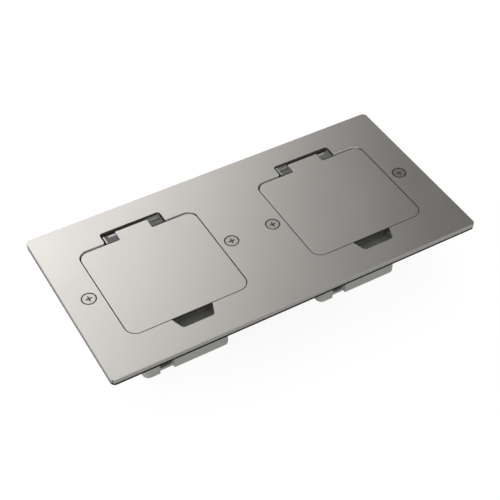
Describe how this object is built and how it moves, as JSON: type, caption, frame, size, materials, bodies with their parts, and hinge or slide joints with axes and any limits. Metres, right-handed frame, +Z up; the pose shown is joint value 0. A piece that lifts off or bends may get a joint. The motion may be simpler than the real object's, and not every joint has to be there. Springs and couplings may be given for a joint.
{
  "type": "floor socket box",
  "caption": "Flush floor socket box: a satin steel face plate on a gasket over square socket modules, each with a flush hinged lid, finger notch and earthed socket below.",
  "frame": {"origin": "centre of the face plate on the finished floor, at the gasket's underside", "axes": "+X along the plate's long side, +Y towards the lid hinges, +Z up out of the floor"},
  "size_m": [0.24, 0.12, 0.0536],
  "materials": {
    "satin_steel": "satin",
    "black_rubber": "matte",
    "screw_steel": "plated",
    "cast_alloy": "as cast",
    "grey_shell": "fine texture",
    "socket_plastic": "satin",
    "base_plastic": "matte",
    "contact_brass": "rolled strip",
    "spring_steel": "drawn wire",
    "shutter_plastic": "satin"
  },
  "bodies": {
    "housing": {"face_plate": "satin_steel", "floor_gasket": "black_rubber", "box_screws": "screw_steel", "plate_studs": "screw_steel", "stud_nuts": "screw_steel", "left_carrier_frame": "cast_alloy", "left_lid_seal": "black_rubber", "left_body_shell": "grey_shell", "left_shell_screws": "screw_steel", "left_socket_face": "socket_plastic", "left_face_screw": "screw_steel", "left_socket_base": "base_plastic", "left_line_contact": "contact_brass", "left_neutral_contact": "contact_brass", "left_earth_bar": "contact_brass", "left_terminal_screws": "screw_steel", "left_shutter_spring": "spring_steel", "right_carrier_frame": "cast_alloy", "right_lid_seal": "black_rubber", "right_body_shell": "grey_shell", "right_shell_screws": "screw_steel", "right_socket_face": "socket_plastic", "right_face_screw": "screw_steel", "right_socket_base": "base_plastic", "right_line_contact": "contact_brass", "right_neutral_contact": "contact_brass", "right_earth_bar": "contact_brass", "right_terminal_screws": "screw_steel", "right_shutter_spring": "spring_steel"},
    "left_lid": {"left_lid_panel": "satin_steel", "left_lid_hinge_block": "cast_alloy", "left_hinge_pin": "spring_steel"},
    "left_shutter": {"left_pin_shutter": "shutter_plastic"},
    "right_lid": {"right_lid_panel": "satin_steel", "right_lid_hinge_block": "cast_alloy", "right_hinge_pin": "spring_steel"},
    "right_shutter": {"right_pin_shutter": "shutter_plastic"}
  },
  "joints": [
    {"name": "left_lid_hinge", "type": "hinge", "parent": "housing", "child": "left_lid", "pos_m": [-0.06, 0.0394, 0.00075], "axis": [-1, 0, 0], "range_deg": [0, 100]},
    {"name": "left_shutter_slide", "type": "slide", "parent": "housing", "child": "left_shutter", "axis": [0, 1, 0], "range_m": [0, 0.0056], "stiffness_N_per_m": 80, "springref_m": -0.004, "deforming": ["left_shutter_spring"]},
    {"name": "right_lid_hinge", "type": "hinge", "parent": "housing", "child": "right_lid", "pos_m": [0.06, 0.0394, 0.00075], "axis": [-1, 0, 0], "range_deg": [0, 100]},
    {"name": "right_shutter_slide", "type": "slide", "parent": "housing", "child": "right_shutter", "axis": [0, 1, 0], "range_m": [0, 0.0056], "stiffness_N_per_m": 80, "springref_m": -0.004, "deforming": ["right_shutter_spring"]}
  ]
}
